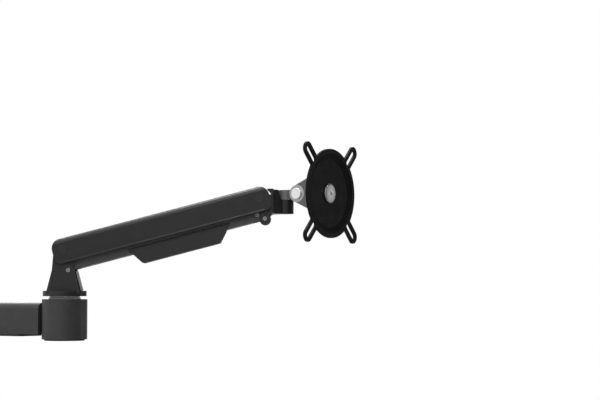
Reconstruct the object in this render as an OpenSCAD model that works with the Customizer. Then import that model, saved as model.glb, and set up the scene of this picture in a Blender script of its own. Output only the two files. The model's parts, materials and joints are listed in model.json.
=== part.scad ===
// Gas spring monitor arm with a desk clamp.
// Frame: +Z up, origin on the post's axis at the desk's top face, the screen plate faces -Y.

/* [Posture] */
// Plan direction of the spring arm, from the X axis
arm_yaw = -57; // [-70:1:-45]
// Rise of the spring arm above level
arm_rise = 14.7; // [5:0.1:20]

/* [Base] */
// Width of the base plate
base_width = 96; // [80:1:120]
// Length of the base plate
base_length = 110; // [100:1:130]
// Thickness of the base plate
base_thick = 12; // [10:1:16]
// Corner radius of the base plate
base_corner = 14; // [6:1:20]
// Thickness of the rubber pad under it
pad_thick = 2; // [1:0.5:3]
// Diameter of the boss round the post
boss_width = 60; // [56:1:70]
// Height of that boss
boss_height = 8; // [4:1:12]

/* [Desk clamp] */
// Thickness of the desk held at rest
desk_thick = 30; // [12:1:50]
// Width of the C bracket
bracket_width = 50; // [40:1:60]
// Thickness of its steel
bracket_thick = 8; // [6:0.5:10]
// Depth of the bracket's lower leg under the desk
bracket_depth = 90; // [80:1:110]
// Diameter of the clamp screw
clamp_screw_d = 12; // [10:1:14]
// Length of the clamp screw between its pad and its knob
clamp_screw_reach = 80; // [70:1:90]
// Diameter of the swivel pad
pad_disc_d = 48; // [40:1:50]
// Height of the hand knob
knob_height = 22; // [18:1:26]
// Radius of the knob's core
knob_core = 16; // [14:0.5:18]

/* [Post] */
// Diameter of the post
post_d = 48; // [44:1:50]
// Height of the post's shoulder above the desk
shoulder_height = 95; // [80:1:120]
// Diameter of the spindle on the shoulder
spindle_d = 28; // [24:1:30]

/* [Lower arm] */
// Distance from the post's axis to the elbow's axis
lower_reach = 240; // [220:1:280]
// Diameter of both hubs
hub_d = 54; // [52:1:60]
// Height of both hubs
hub_height = 47.5; // [45:0.5:55]
// Width of the beam
beam_width = 40; // [34:1:44]
// Height of the beam
beam_height = 38; // [34:1:40]
// Wall of the beam
beam_wall = 5; // [3:0.5:6]
// Diameter of the elbow's shaft
elbow_shaft_d = 24; // [20:1:26]

/* [Spring arm] */
// Distance between the lift pivots at both ends
arm_reach = 240; // [230:1:280]
// Height of the rear lift pivot above the desk
lift_height = 204; // [204:1:220]
// Distance between the lift pivot and the link pivot
link_gap = 24.5; // [24:0.1:26]
// Width of the shell
shell_width = 48; // [48:0.5:54]
// Wall of the shell
shell_wall = 2; // [1.8:0.1:2.2]
// Height of the shell above its pivots
shell_above = 14.2; // [14:0.1:15]
// Depth of the shell below its pivots
shell_below = 15.6; // [14:0.1:16]
// How far the shell's ends pass its pivots
shell_nose = 12.2; // [12:0.1:13]
// Radius of the shell's long top edges
shell_edge = 6; // [4:0.5:8]
// Height of the lower link's side walls
link_height = 12.9; // [10:0.1:13]
// Depth of the lower link below its pivots
link_below = 0.9; // [0.5:0.1:2]
// Radius of the lower link's end lobes
link_lobe = 6.9; // [6:0.1:7.5]

/* [Cable cover] */
// Rear top corner, along the arm
cover_rear = 73.7; // [70:0.1:80]
// Rear bottom corner, along the arm
cover_rear_foot = 87.1; // [85:0.1:95]
// Front bottom corner, along the arm
cover_front_foot = 181.1; // [175:0.1:185]
// Front top corner, along the arm
cover_front = 198.1; // [190:0.1:200]
// Top edge below the pivots
cover_top = 19; // [18:0.1:20]
// Bottom face below the pivots
cover_bottom = 38.7; // [36:0.1:42]
// Wall of the cover
cover_wall = 1.8; // [1.4:0.1:2]

/* [Gas spring] */
// Drop of the rear pin below the lift pivot
spring_drop = 12; // [11:0.1:13]
// Setback of the front pin behind the front lift pivot
spring_setback = 35; // [32:1:40]
// Drop of the front pin below the lift pivots
spring_front_drop = 1.5; // [0:0.1:2]
// Length of the cylinder
cylinder_length = 85; // [75:1:95]
// Diameter of the cylinder
cylinder_d = 18; // [16:0.5:18]
// Diameter of the rod
gas_rod_d = 8; // [6:0.5:8]

/* [Head] */
// Distance from the front lift pivot to the swivel axis
swivel_offset = 31.4; // [31:0.1:34]
// Distance from the swivel axis to the tilt axis
tilt_offset = 28.5; // [28:0.1:32]
// Height of the tilt axis above the front lift pivot
tilt_height = 5.3; // [5:0.1:6]
// Diameter of the hub under the yoke
swivel_hub_d = 17.6; // [17:0.1:19]
// Diameter of the yoke's neck
neck_d = 19; // [18:0.1:19.5]
// Diameter of the yoke's barrel
barrel_d = 17.2; // [16:0.1:18]
// Diameter of the tilt bracket's ear bosses
ear_boss_d = 20; // [18:0.5:22]
// Diameter of the tilt caps
tilt_cap_d = 13; // [12.6:0.1:14]
// Angle of the tilt bracket's flare
flare = 25; // [20:1:28]

/* [Screen plate] */
// Distance from the tilt axis to the plate's front face
plate_offset = 35; // [35:0.5:38]
// Diameter of the disc
disc_d = 105; // [102:1:110]
// Thickness of the plate
plate_thick = 2.8; // [2:0.1:3]
// Depth of the dish in the plate
dish_depth = 3.6; // [3.4:0.1:4.8]
// Diameter of the dish's floor
dish_floor_d = 81; // [76:1:84]
// Diameter of the dish's mouth
dish_mouth_d = 94; // [90:1:98]
// Smaller hole pattern, side to side
pattern_small = 75; // [75:1:75]
// Larger hole pattern, side to side
pattern_large = 100; // [100:1:100]
// Width of the slots
slot_width = 6; // [4.5:0.1:6.5]
// Width of the ears
ear_width = 16; // [14:0.5:18]
// Diameter of the centre bolt's head
bolt_head_d = 22.6; // [20:0.1:24]

/* [Fits] */
// Radial clearance of a turning fit
running_fit = 0.06; // [0.03:0.01:0.1]
// Gap between two pieces that touch
face_gap = 0.05; // [0.02:0.01:0.1]
// Side gap between the linkage's moving walls
side_gap = 0.4; // [0.3:0.1:0.6]
// Clearance of the link's open pivot
open_pivot_fit = 0.1; // [0.08:0.01:0.15]
// Play of the gas spring's rear eye round its pin
spring_play = 1.9; // [1.8:0.1:2]
// Radial clearance of a hole that a screw passes through
screw_gap = 0.3; // [0.2:0.1:0.4]

/* [Hidden] */
$fn = 64;
far = 400;

// Colours
cast_black = [0.10, 0.10, 0.11];
shell_grey = [0.20, 0.20, 0.21];
plastic_black = [0.07, 0.07, 0.07];
rubber_black = [0.04, 0.04, 0.04];
head_grey = [0.38, 0.38, 0.39];
steel = [0.75, 0.75, 0.77];
nylon = [0.85, 0.84, 0.80];
bronze = [0.62, 0.47, 0.28];

// Screws: [shank radius, head radius, head height]
m6 = [3, 5, 3.5];
m6_hex_r = 5 / cos(30);
hex_gap = 0.35;
m8 = [4, 6.5, 5];
m10 = [5, 8, 4];
set_screw_r = 3;
link_pin_r = 2.5;
socket_share = 0.8;
socket_depth = 2;
thin_washer = 0.9;
friction_washer = 1.5;
bush_wall = 3;
bush_flange = 2;
bush_reach = 13;
retainer_thick = 3;

// Clamp heights
base_top = pad_thick + base_thick;
pad_margin = 2;
post_screw_z = pad_thick + 0.4;
post_screw_bite = 22;
tap_extra = 2;
jaw_z = -desk_thick;
rubber_thick = 2.5;
pad_disc_thick = 5.5;
pad_hub_r = 9;
pad_hub_wall = 1.5;
pad_hub_height = 17;
pad_hub_z = jaw_z - pad_hub_height;
spigot_r = 4;
ring_groove = 0.5;
ring_thick = 1;
ring_depth = 3;
ring_z = jaw_z - rubber_thick - ring_depth;
knob_top = pad_hub_z - clamp_screw_reach;
knob_floor = 6;
bracket_screw_x = 15;
bracket_screw_bite = 15;
clamp_boss_r = 13;
clamp_boss_over = 6;
socket_floor = base_top - 4;
bracket_back = base_length / 2 + face_gap;

// Lower arm heights
hub_z = shoulder_height + friction_washer + bush_flange;
hub_top = hub_z + hub_height;
hub_r = hub_d / 2;
elbow_r = elbow_shaft_d / 2;
spindle_r = spindle_d / 2;
cap_recess = 14;
cap_wall = 4;
flange_over = 7;
retainer_over = 7.5;
retainer_bite = 22;
spindle_top = hub_top - cap_recess + bush_flange + 2 * face_gap;
beam_top = hub_top - 4;
beam_z = beam_top - beam_height;
channel_half = beam_width / 2 - beam_wall;
channel_rear = hub_r + 9;
channel_front = lower_reach - channel_rear;
friction_z = hub_z + 17;
elbow_recess = 11.5;
elbow_recess_r = hub_r - 7;
elbow_shaft_z = hub_z + elbow_recess - bush_flange - 2 * face_gap;
rear_disc_z = hub_top + bush_flange + friction_washer;
rear_disc_thick = 6.5;

// Linkage: where each layer lies sideways
shell_half = shell_width / 2;
shell_inner = shell_half - shell_wall;
pivot_boss = 1.2;
boss_face = shell_inner - pivot_boss;
bush_lip = 0.8;
ear_outer = boss_face - bush_lip - face_gap;
ear_thick = 4.2;
ear_inner = ear_outer - ear_thick;
link_outer = ear_inner - side_gap;
link_wall = 2.2;
link_inner = link_outer - link_wall;
link_floor = 2;
link_end = 14;
lift_pin_r = 4;
pivot_bush_r = 5.2;
pivot_cap_r = 5.5;
pivot_cap_seat = 0.95;
pivot_cap_proud = 0.25;
pin_proud = 0.3;
link_pivot = link_gap * [sin(arm_rise), -cos(arm_rise)];
link_z = -link_gap - link_below;
tie_place = [arm_reach - 7.7, 0, 6.6 - link_gap];
tie_r = 3.5;
tie_screw_r = 2;
tie_head_r = 2.5;
tie_head = 1;
shell_roof = shell_above - shell_wall - 0.4;
saddle_half = 6;

// Gas spring, along the line from its rear pin to its front pin
spring_reach = arm_reach - spring_setback;
spring_line = [spring_reach, spring_drop - spring_front_drop];
spring_length = norm(spring_line);
spring_angle = atan2(spring_line[1], spring_line[0]);
spring_pin_r = 3;
spring_eye_lift = 1.7;
cylinder_neck = 15;
cylinder_end = spring_length - cylinder_neck;
cylinder_start = cylinder_end - cylinder_length;
cylinder_wall = 1.5;
piston_thick = 5;
nut_half = 6;
nut_height = 10;
fork_inner = nut_half + 0.4;
fork_outer = fork_inner + 5;
tension_screw_r = 3;
tension_head_r = 4.5;
tension_head = 3.5;
tension_tail = 7;
bridge_z = 2;
bridge_thick = 3.5;
bridge_half = 6;
pedestal_top = -27.5;
pedestal_half = 8;
pedestal_gap = 0.25;
ear_middle = (ear_inner + ear_outer) / 2;

// Head heights, from the front lift pivot
bracket_head_top = 11.8;
bracket_head_bottom = -17.4;
bracket_step = 5;
hood_back_r = 11.2;
hood_skin = 2;
spring_seat = bracket_head_bottom + 5;
yoke_top = 10.8;
yoke_bottom = -0.55;
nut_pocket = 4.6;
nut_thick = 4;
hub_head_top = yoke_bottom - thin_washer / 2 - 2 * face_gap;
barrel_half = 14.6;
tilt_washer_x = barrel_half + face_gap;
ear_x = tilt_washer_x + thin_washer + face_gap;
ear_x_outer = ear_x + 6;
cap_plug_r = 6;
cap_thick = 1.6;
tilt_recess = 4;
tilt_seat = ear_x_outer - tilt_recess;
tilt_nut_thick = 3.3;
rotation_washer_r = 21;
dish_face = plate_offset - dish_depth;
dish_back = dish_face - plate_thick;
base_front = dish_back - 1.1;
base_back = base_front - 4.7;
dish_bend = 0.8;
slot_inner = pattern_small / sqrt(2);
slot_outer = pattern_large / sqrt(2);

// ---------- frames ----------

// Level frame on the rear lift pivot, X along the spring arm in plan
module at_lift() {
    translate([0, -lower_reach, lift_height]) rotate([0, 0, arm_yaw]) children();
}

// Frame of the spring arm: X along it, Z square to it
module at_arm() {
    at_lift() rotate([0, -arm_rise, 0]) children();
}

// Level frame on the front lift pivot
module at_front() {
    at_arm() translate([arm_reach, 0, 0]) rotate([0, arm_rise, 0]) children();
}

// Frame of the head on the swivel axis, the screen towards -Y
module at_swivel() {
    at_front() translate([swivel_offset, 0, 0]) rotate([0, 0, -arm_yaw]) children();
}

// The same frame on the tilt axis
module at_tilt() {
    at_swivel() translate([0, -tilt_offset, tilt_height]) children();
}

// Frame of the gas spring: X from its rear pin to its front pin
module at_spring() {
    at_arm() translate([0, 0, -spring_drop]) rotate([0, -spring_angle, 0]) children();
}

module at_elbow() {
    translate([0, -lower_reach, 0]) children();
}

// ---------- shapes ----------

module tube(outer, inner, z0, z1) {
    translate([0, 0, z0]) difference() {
        cylinder(r = outer, h = z1 - z0);
        translate([0, 0, -1]) cylinder(r = inner, h = z1 - z0 + 2);
    }
}

module disc(r, z0, z1) {
    translate([0, 0, z0]) cylinder(r = r, h = z1 - z0);
}

// Round bar along X
module bar_x(r, x0, x1) {
    translate([x0, 0, 0]) rotate([0, 90, 0]) cylinder(r = r, h = x1 - x0);
}

// Round bar along Y
module bar_y(r, y0, y1) {
    translate([0, y0, 0]) rotate([-90, 0, 0]) cylinder(r = r, h = y1 - y0);
}

// Hexagonal bar along Y
module hex_y(r, y0, y1) {
    bar_y(r, y0, y1, $fn = 6);
}

// A drawing in X and Z, made solid from y0 to y1
module slab_y(y0, y1) {
    translate([0, y1, 0]) rotate([90, 0, 0]) linear_extrude(y1 - y0) children();
}

// A drawing in Y and Z, made solid from x0 to x1
module slab_x(x0, x1) {
    translate([x0, 0, 0]) rotate([90, 0, 90]) linear_extrude(x1 - x0) children();
}

module block(low, high) {
    translate(low) cube(high - low);
}

module span(low, high) {
    translate(low) square(high - low);
}

module round_rect(w, l, r) {
    square([w - 2 * r, l], center = true);
    square([w, l - 2 * r], center = true);
    for (x = [-1, 1], y = [-1, 1]) translate([x * (w / 2 - r), y * (l / 2 - r)]) circle(r);
}

// Both sides of the arm's middle plane
module both_sides() {
    children();
    mirror([0, 1, 0]) children();
}

// Both sides of the head's middle plane
module both_ears() {
    children();
    mirror([1, 0, 0]) children();
}

// ---------- base ----------

module base_pad() {
    color(rubber_black) linear_extrude(pad_thick - face_gap) difference() {
        round_rect(base_width - 2 * pad_margin, base_length - 2 * pad_margin, base_corner - pad_margin);
        circle(m10[1] + pad_margin);
    }
}

module base_plate() {
    color(cast_black) difference() {
        union() {
            translate([0, 0, pad_thick]) linear_extrude(base_thick)
                round_rect(base_width, base_length, base_corner);
            translate([0, 0, base_top])
                cylinder(d1 = boss_width + boss_height, d2 = boss_width, h = boss_height);
        }
        disc(post_d / 2 + face_gap, socket_floor, base_top + far);
        disc(m10[0] + screw_gap, 0, base_top);
        disc(m10[1] + screw_gap, 0, post_screw_z + m10[2]);
        for (x = [-1, 1]) translate([x * bracket_screw_x, 0, pad_thick + base_thick / 2])
            bar_y(m6[0] + face_gap, base_length / 2 - bracket_screw_bite - tap_extra, base_length);
    }
}

module post() {
    color(cast_black) difference() {
        union() {
            disc(post_d / 2, socket_floor + face_gap, shoulder_height);
            disc(spindle_r, shoulder_height - 1, spindle_top);
        }
        disc(m10[0] + face_gap, 0, socket_floor + post_screw_bite + tap_extra);
        disc(m8[0] + face_gap, spindle_top - retainer_bite, spindle_top + 1);
    }
}

module post_screw() {
    color(steel) difference() {
        union() {
            disc(m10[1], post_screw_z, post_screw_z + m10[2] - face_gap);
            disc(m10[0], post_screw_z, socket_floor + post_screw_bite);
        }
        disc(socket_share * m10[0], pad_thick, post_screw_z + socket_depth, $fn = 6);
    }
}

module post_washer() {
    color(nylon) tube(post_d / 2 - 1, spindle_r + screw_gap, shoulder_height + face_gap,
        shoulder_height + friction_washer - face_gap);
}

module post_retainer() {
    color(steel) tube(spindle_r + retainer_over, m8[0] + screw_gap, spindle_top + face_gap,
        spindle_top + retainer_thick);
}

// Cap screw pointing down, with its seat at z = 0
module cap_screw(size, reach) {
    difference() {
        union() {
            disc(size[1], face_gap, size[2]);
            disc(size[0], -reach, size[2] - 1);
        }
        disc(socket_share * size[0], size[2] / 2, size[2] + 1, $fn = 6);
    }
}

module post_retainer_screw() {
    color(steel) translate([0, 0, spindle_top + retainer_thick])
        cap_screw(m8, retainer_thick + retainer_bite - tap_extra);
}

// ---------- desk clamp ----------

module clamp_bracket() {
    leg_z = -bracket_depth - bracket_thick;
    far_side = bracket_back + bracket_thick;
    fillet = 6;
    outer_round = 10;
    color(cast_black) difference() {
        union() {
            slab_x(-bracket_width / 2, bracket_width / 2) difference() {
                union() {
                    span([bracket_back, leg_z], [far_side, base_top]);
                    span([0, leg_z], [bracket_back + 1, -bracket_depth]);
                    difference() {
                        span([bracket_back - fillet, -bracket_depth - 1],
                            [bracket_back + 1, fillet - bracket_depth]);
                        translate([bracket_back - fillet, fillet - bracket_depth]) circle(fillet);
                    }
                }
                difference() {
                    span([far_side - outer_round, leg_z - 1],
                        [far_side + 1, leg_z + outer_round]);
                    translate([far_side - outer_round, leg_z + outer_round])
                        circle(outer_round);
                }
            }
            disc(bracket_width / 2, leg_z, -bracket_depth);
            disc(clamp_boss_r, leg_z - clamp_boss_over, clamp_boss_over - bracket_depth);
        }
        disc(clamp_screw_d / 2 + running_fit, leg_z - far, 0);
        for (x = [-1, 1]) translate([x * bracket_screw_x, 0, pad_thick + base_thick / 2])
            bar_y(m6[0] + screw_gap, 0, base_length);
    }
}

module bracket_screws() {
    color(steel) for (x = [-1, 1])
        translate([x * bracket_screw_x, bracket_back + bracket_thick, pad_thick + base_thick / 2])
            rotate([-90, 0, 0]) cap_screw(m6, bracket_thick + bracket_screw_bite);
}

module clamp_pad() {
    color(steel) difference() {
        union() {
            disc(pad_disc_d / 2, jaw_z - rubber_thick - pad_disc_thick, jaw_z - rubber_thick - face_gap);
            disc(pad_hub_r, pad_hub_z, jaw_z - rubber_thick - 1);
        }
        disc(spigot_r + running_fit, pad_hub_z - 1, jaw_z);
        disc(pad_hub_r - pad_hub_wall, ring_z, jaw_z);
    }
}

module clamp_pad_rubber() {
    color(rubber_black) disc(pad_disc_d / 2 - 1, jaw_z - rubber_thick, jaw_z);
}

module clamp_screw() {
    color(steel) difference() {
        union() {
            disc(clamp_screw_d / 2, knob_top - knob_height + knob_floor, pad_hub_z - face_gap);
            disc(spigot_r, pad_hub_z - 1, jaw_z - rubber_thick - 0.7);
        }
        tube(spigot_r + 1, spigot_r - ring_groove, ring_z, ring_z + ring_thick + 2 * face_gap);
    }
}

module clamp_pad_ring() {
    color(steel) tube(spigot_r + 3, spigot_r - ring_groove + face_gap, ring_z + face_gap,
        ring_z + ring_thick + face_gap);
}

module clamp_knob() {
    lobe_r = 7;
    lobes = 6;
    color(plastic_black) difference() {
        translate([0, 0, knob_top - knob_height]) linear_extrude(knob_height - face_gap) {
            circle(knob_core);
            for (i = [0 : lobes - 1]) rotate(i * 360 / lobes) translate([knob_core, 0]) circle(lobe_r);
        }
        disc(clamp_screw_d / 2 + face_gap, knob_top - knob_height + knob_floor, knob_top + 1);
    }
}

// ---------- lower arm ----------

module beam_section() {
    edge = 8;
    channel_section(beam_width / 2, beam_top, beam_z, edge);
}

module lower_arm() {
    into_hub = hub_r - 3;
    color(cast_black) difference() {
        union() {
            disc(hub_r, hub_z, hub_top);
            at_elbow() disc(hub_r, hub_z, hub_top);
            slab_y(into_hub - lower_reach, -into_hub) beam_section();
        }
        disc(spindle_r + bush_wall + face_gap, hub_z - 1, hub_top);
        disc(hub_r - cap_wall, hub_top - cap_recess, hub_top + 1);
        at_elbow() disc(elbow_r + bush_wall + face_gap, hub_z, hub_top + 1);
        at_elbow() disc(elbow_recess_r, hub_z - 1, hub_z + elbow_recess);
        block([-channel_half, -channel_front, beam_z - 1],
            [channel_half, -channel_rear, beam_top - beam_wall]);
        translate([0, 0, friction_z]) bar_y(set_screw_r + face_gap, 0, hub_r + 1);
    }
}

module flanged_bush(shaft_r, flange_r, z0, z1, flange_at) {
    tube(shaft_r + bush_wall, shaft_r + running_fit, z0, z1);
    tube(flange_r, shaft_r + running_fit, flange_at, flange_at + bush_flange - 2 * face_gap);
}

module post_bush_lower() {
    color(nylon) flanged_bush(spindle_r, spindle_r + flange_over,
        hub_z - bush_flange + face_gap, hub_z + bush_reach, hub_z - bush_flange + face_gap);
}

module post_bush_upper() {
    color(nylon) flanged_bush(spindle_r, spindle_r + flange_over,
        hub_top - cap_recess - bush_reach + 1, hub_top - cap_recess + 1, hub_top - cap_recess + face_gap);
}

module hub_cap() {
    lid = 2.5;
    skirt = 3;
    color(plastic_black) {
        disc(hub_r, hub_top + face_gap, hub_top + lid);
        tube(hub_r - cap_wall - face_gap, hub_r - cap_wall - cover_wall, hub_top - skirt, hub_top + 1);
    }
}

module friction_tip() {
    color(nylon) translate([0, 0, friction_z])
        bar_y(set_screw_r - face_gap, spindle_r + face_gap, spindle_r + bush_wall);
}

module friction_screw() {
    color(steel) translate([0, 0, friction_z]) difference() {
        bar_y(set_screw_r, spindle_r + bush_wall + face_gap, hub_r - 0.5);
        hex_y(set_screw_r / 2, hub_r - 2 * socket_depth, hub_r + 1);
    }
}

module lower_cable_cover() {
    rail = 1.5;
    rail_height = 8;
    mouth = 14;
    cover_thick = 2.4;
    rear = -channel_rear - mouth;
    front = mouth - channel_front;
    color(plastic_black) {
        translate([0, (rear + front) / 2, beam_z - cover_thick]) linear_extrude(cover_thick - face_gap)
            round_rect(beam_width, rear - front, 6);
        for (x = [face_gap - channel_half, channel_half - rail - face_gap])
            block([x, front + 4, beam_z - 1], [x + rail, rear - 4, beam_z + rail_height]);
    }
}

// ---------- elbow ----------

module elbow_bush_lower() {
    seat = hub_z + elbow_recess;
    color(nylon) at_elbow() flanged_bush(elbow_r, elbow_r + flange_over,
        seat - 1, seat + bush_reach, seat - bush_flange + face_gap);
}

module elbow_bush_upper() {
    color(nylon) at_elbow() flanged_bush(elbow_r, elbow_r + flange_over,
        hub_top - bush_reach, hub_top + 1, hub_top + face_gap);
}

module elbow_cap() {
    lid = 1.6;
    skirt = 4;
    color(plastic_black) at_elbow() {
        disc(elbow_recess_r + skirt, hub_z - lid, hub_z - face_gap);
        tube(elbow_recess_r - face_gap, elbow_recess_r - cover_wall, hub_z - 1, hub_z + skirt);
    }
}

module elbow_washer() {
    color(nylon) at_elbow() tube(elbow_r + 2 * bush_wall, elbow_r + screw_gap,
        hub_top + bush_flange + face_gap, rear_disc_z - face_gap);
}

module elbow_retainer() {
    color(steel) at_elbow() tube(elbow_r + flange_over - 1, m8[0] + screw_gap,
        elbow_shaft_z - retainer_thick, elbow_shaft_z - face_gap);
}

module elbow_screw() {
    color(steel) at_elbow() translate([0, 0, elbow_shaft_z - retainer_thick])
        rotate([180, 0, 0]) cap_screw(m8, retainer_thick + retainer_bite - tap_extra);
}

// Cheek of the rear bracket, in the level frame on the rear lift pivot
module cheek_outline() {
    foot = rear_disc_z + rear_disc_thick / 2 - lift_height;
    crown = 11;
    waist = 13;
    foot_half = 20;
    circle(crown);
    polygon([
        [-crown, 0], [crown, 0], [waist, link_pivot[1]], [foot_half, foot], [-foot_half, foot],
        [-waist, link_pivot[1]]
    ]);
}

module rear_bracket() {
    disc_z = rear_disc_z - lift_height;
    shaft_z = elbow_shaft_z - lift_height;
    color(cast_black) at_lift() difference() {
        union() {
            disc(hub_r - 1, disc_z, disc_z + rear_disc_thick);
            disc(elbow_r, shaft_z, disc_z + 1);
            both_sides() slab_y(ear_inner, ear_outer) cheek_outline();
            rotate([0, -arm_rise, 0]) {
                block([-pedestal_half, pedestal_gap - link_inner, disc_z + rear_disc_thick / 2],
                    [pedestal_half, link_inner - pedestal_gap, pedestal_top]);
                block([-bridge_half, -ear_middle, bridge_z],
                    [bridge_half, ear_middle, bridge_z + bridge_thick]);
            }
        }
        disc(m8[0] + face_gap, shaft_z - 1, shaft_z + retainer_bite);
        rotate([0, -arm_rise, 0])
            disc(tension_screw_r + running_fit, pedestal_top - tension_tail - 1, bridge_z + 2 * bridge_thick);
        bar_y(lift_pin_r + face_gap, -far, far);
        translate([link_pivot[0], 0, link_pivot[1]]) both_sides()
            bar_y(link_pin_r + face_gap, ear_inner - 1, ear_outer + 1);
    }
}

module lift_pins() {
    both_sides() bar_y(lift_pin_r, ear_inner, shell_half - pivot_cap_seat - face_gap);
}

module link_pins() {
    translate([link_pivot[0], 0, link_pivot[1]]) both_sides() difference() {
        bar_y(link_pin_r, link_inner + face_gap, ear_outer + pin_proud);
        hex_y(link_pin_r / 2, ear_outer + pin_proud - socket_depth, ear_outer + 1);
    }
}

module rear_lift_pins() {
    color(steel) at_lift() lift_pins();
}

module rear_link_pins() {
    color(steel) at_lift() link_pins();
}

module tension_screw() {
    head = bridge_z + bridge_thick + face_gap;
    color(steel) at_arm() difference() {
        union() {
            disc(tension_screw_r, pedestal_top - tension_tail, head + 1);
            disc(tension_head_r, head, head + tension_head);
        }
        disc(socket_share * tension_screw_r, head + 1, head + tension_head + 1, $fn = 6);
    }
}

module tension_nut() {
    color(bronze) at_arm() translate([0, 0, -spring_drop]) difference() {
        union() {
            block([-nut_half, -nut_half, -nut_height / 2], [nut_half, nut_half, nut_height / 2]);
            bar_y(spring_pin_r, -fork_outer, fork_outer);
        }
        disc(tension_screw_r + running_fit, -nut_height, nut_height);
    }
}

// ---------- spring arm ----------

// Side view of the shell, both ends alike
module shell_outline() {
    top_r = 12;
    low_r = 8;
    x0 = -shell_nose;
    x1 = arm_reach + shell_nose;
    span([x0 + top_r, top_r - shell_below], [x1 - top_r, shell_above]);
    span([x0, low_r - shell_below], [x1, shell_above - top_r]);
    span([x0 + low_r, -shell_below], [x1 - low_r, 0]);
    for (x = [x0 + top_r, x1 - top_r]) translate([x, shell_above - top_r]) circle(top_r);
    for (x = [x0 + low_r, x1 - low_r]) translate([x, low_r - shell_below]) circle(low_r);
}

// Cross-section of a channel, round along its top edges
module channel_section(half, top, bottom, edge) {
    span([-half, bottom], [half, top - edge]);
    span([edge - half, bottom], [half - edge, top]);
    for (y = [-1, 1]) translate([y * (half - edge), top - edge]) circle(edge);
}

module arm_shell() {
    slot = [9, 3.5];
    color(shell_grey) at_arm() difference() {
        union() {
            difference() {
                intersection() {
                    slab_x(-far, far) channel_section(shell_half, shell_above, -shell_below - 1, shell_edge);
                    slab_y(-far, far) shell_outline();
                }
                slab_x(-far, far) channel_section(shell_inner, shell_roof, -far, shell_edge - shell_wall);
            }
            for (x = [0, arm_reach]) translate([x, 0, 0]) both_sides() bar_y(8, boss_face, shell_inner + 0.5);
            translate([spring_reach, 0, -spring_front_drop]) both_sides()
                block([-saddle_half, shell_inner - 4, -saddle_half],
                    [saddle_half, shell_inner + 0.5, saddle_half]);
        }
        for (x = [0, arm_reach]) translate([x, 0, 0]) both_sides() {
            bar_y(pivot_bush_r + face_gap, 0, shell_half);
            bar_y(pivot_cap_r + face_gap, shell_half - pivot_cap_seat, shell_half + 1);
        }
        translate([spring_reach, 0, -spring_front_drop]) {
            bar_y(spring_pin_r + face_gap, -shell_inner, shell_inner);
            block([-spring_pin_r - face_gap, -shell_inner, -saddle_half - 1],
                [spring_pin_r + face_gap, shell_inner, 0]);
        }
        block([-slot[0], -slot[1], 0], [slot[0], slot[1], shell_above + 1]);
    }
}

module pivot_bushes() {
    color(nylon) at_arm() for (x = [0, arm_reach]) translate([x, 0, 0]) both_sides() difference() {
        union() {
            bar_y(pivot_bush_r, boss_face - 0.2, shell_half - pivot_cap_seat - face_gap);
            bar_y(pivot_bush_r + 2.3, ear_outer + face_gap, boss_face - face_gap);
        }
        bar_y(lift_pin_r + running_fit, 0, shell_half);
    }
}

module pivot_caps() {
    color(shell_grey) at_arm() for (x = [0, arm_reach]) translate([x, 0, 0]) both_sides()
        bar_y(pivot_cap_r, shell_half - pivot_cap_seat + face_gap, shell_half + pivot_cap_proud);
}

module gas_pin() {
    color(steel) at_arm() translate([spring_reach, 0, -spring_front_drop])
        bar_y(spring_pin_r, face_gap - shell_inner, shell_inner - face_gap);
}

module gas_cylinder() {
    gland = 4;
    neck_r = 4.5;
    eye_r = 6;
    eye_half = 5;
    color(cast_black) at_spring() difference() {
        union() {
            bar_x(cylinder_d / 2, cylinder_start, cylinder_end);
            bar_x(neck_r, cylinder_end - 1, spring_length);
            translate([spring_length, 0, 0]) bar_y(eye_r, -eye_half, eye_half);
        }
        bar_x(cylinder_d / 2 - cylinder_wall, cylinder_start + gland, cylinder_end - gland);
        bar_x(gas_rod_d / 2 + running_fit, 0, cylinder_start + gland + 1);
        translate([spring_length, 0, 0]) bar_y(spring_pin_r + running_fit, -far, far);
    }
}

// The rod with its piston and its forked rear eye
module gas_rod() {
    eye_r = 7;
    web = [10, 15];
    web_low = -3;
    web_high = 5;
    piston_end = (cylinder_start + cylinder_end + piston_thick) / 2;
    color(steel) at_spring() difference() {
        union() {
            bar_x(gas_rod_d / 2, web[0], piston_end);
            bar_x(cylinder_d / 2 - cylinder_wall - running_fit, piston_end - piston_thick, piston_end);
            block([web[0], -fork_outer, web_low], [web[1], fork_outer, web_high]);
            both_sides() {
                block([0, fork_inner, web_low], [web[1], fork_outer, web_high]);
                translate([0, 0, spring_eye_lift]) bar_y(eye_r, fork_inner, fork_outer);
            }
        }
        translate([0, 0, spring_eye_lift]) bar_y(spring_pin_r + spring_play, -far, far);
    }
}

// ---------- lower link ----------

module link_outline() {
    top = link_z + link_height;
    shoulder = link_lobe - link_gap - 0.9;
    crest = link_end - 2;
    for (x = [0, arm_reach]) translate([x, -link_gap]) circle(link_lobe);
    polygon([
        [0, link_z], [arm_reach, link_z], [arm_reach, shoulder], [arm_reach - crest, top],
        [crest, top], [0, shoulder]
    ]);
}

module lower_link() {
    color(shell_grey) at_arm() difference() {
        union() {
            both_sides() slab_y(link_inner, link_outer) link_outline();
            block([link_end, link_wall / 4 - link_outer, link_z],
                [arm_reach - link_end, link_outer - link_wall / 4, link_z + link_floor]);
        }
        translate([0, 0, -link_gap]) bar_y(link_pin_r + running_fit, -far, far);
        translate([arm_reach, 0, -link_gap]) bar_y(link_pin_r + open_pivot_fit, -far, far);
        translate(tie_place) {
            bar_y(tie_screw_r + face_gap, -far, far);
            both_sides() bar_y(tie_head_r + face_gap, link_outer - tie_head, far);
        }
    }
}

module link_tie() {
    color(steel) at_arm() translate(tie_place) difference() {
        bar_y(tie_r, face_gap - link_inner, link_inner - face_gap);
        bar_y(tie_screw_r + face_gap, -far, far);
    }
}

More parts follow.
